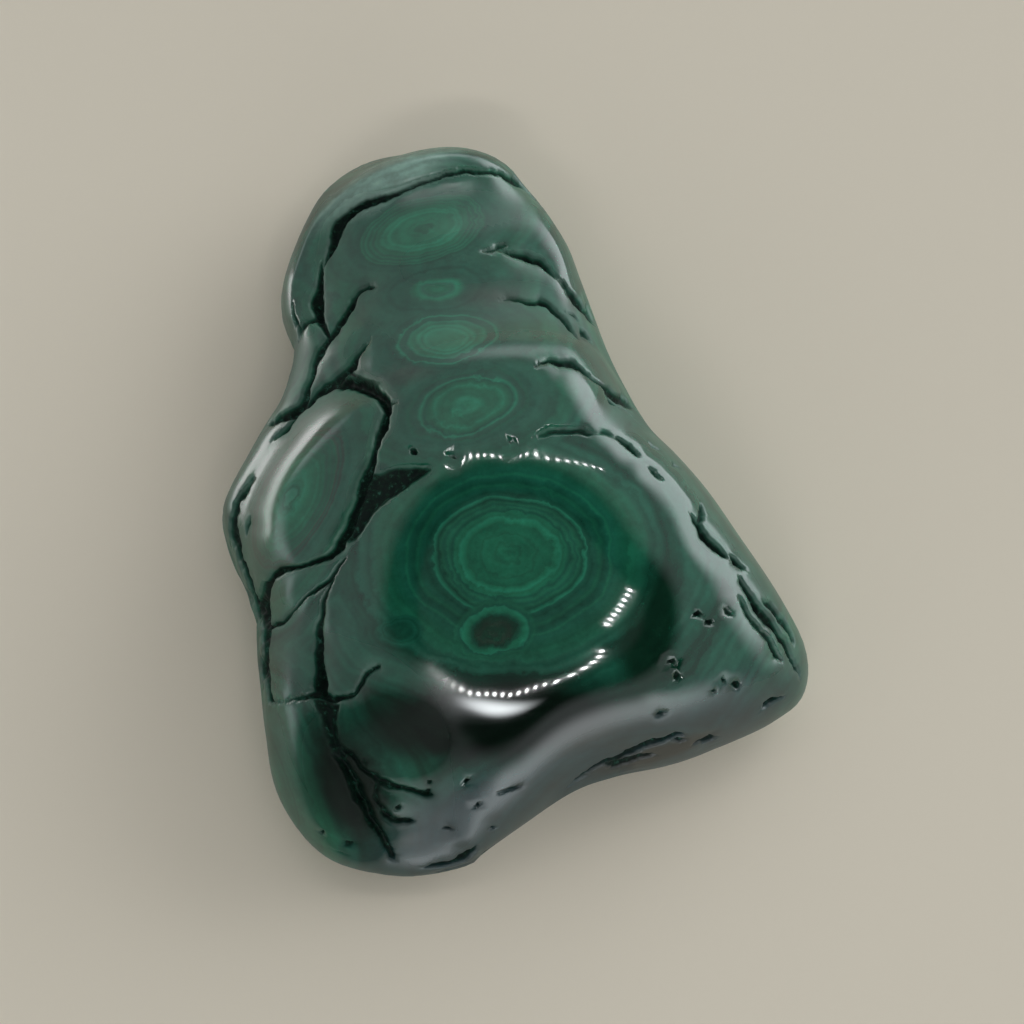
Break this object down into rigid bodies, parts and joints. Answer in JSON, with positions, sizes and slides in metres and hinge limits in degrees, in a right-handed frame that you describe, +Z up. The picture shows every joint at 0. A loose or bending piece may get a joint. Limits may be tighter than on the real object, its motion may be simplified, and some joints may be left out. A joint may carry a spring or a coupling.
{
  "type": "malachite specimen",
  "caption": "Polished botryoidal malachite lump with a domed near end, stepped lobes toward the far end, deep natural creases and a flat base.",
  "frame": {"origin": "on the flat base, under the middle of the stone's overall box", "axes": "+Y along the stone from the domed near end to the narrow far end, +X to the right flank, +Z up from the flat base"},
  "size_m": [0.0686, 0.091, 0.027],
  "materials": {
    "malachite": "high polish, concentric green bands round several eyes, dull dark blue-green in the creases"
  },
  "bodies": {
    "root": {"malachite": "malachite"}
  },
  "joints": []
}
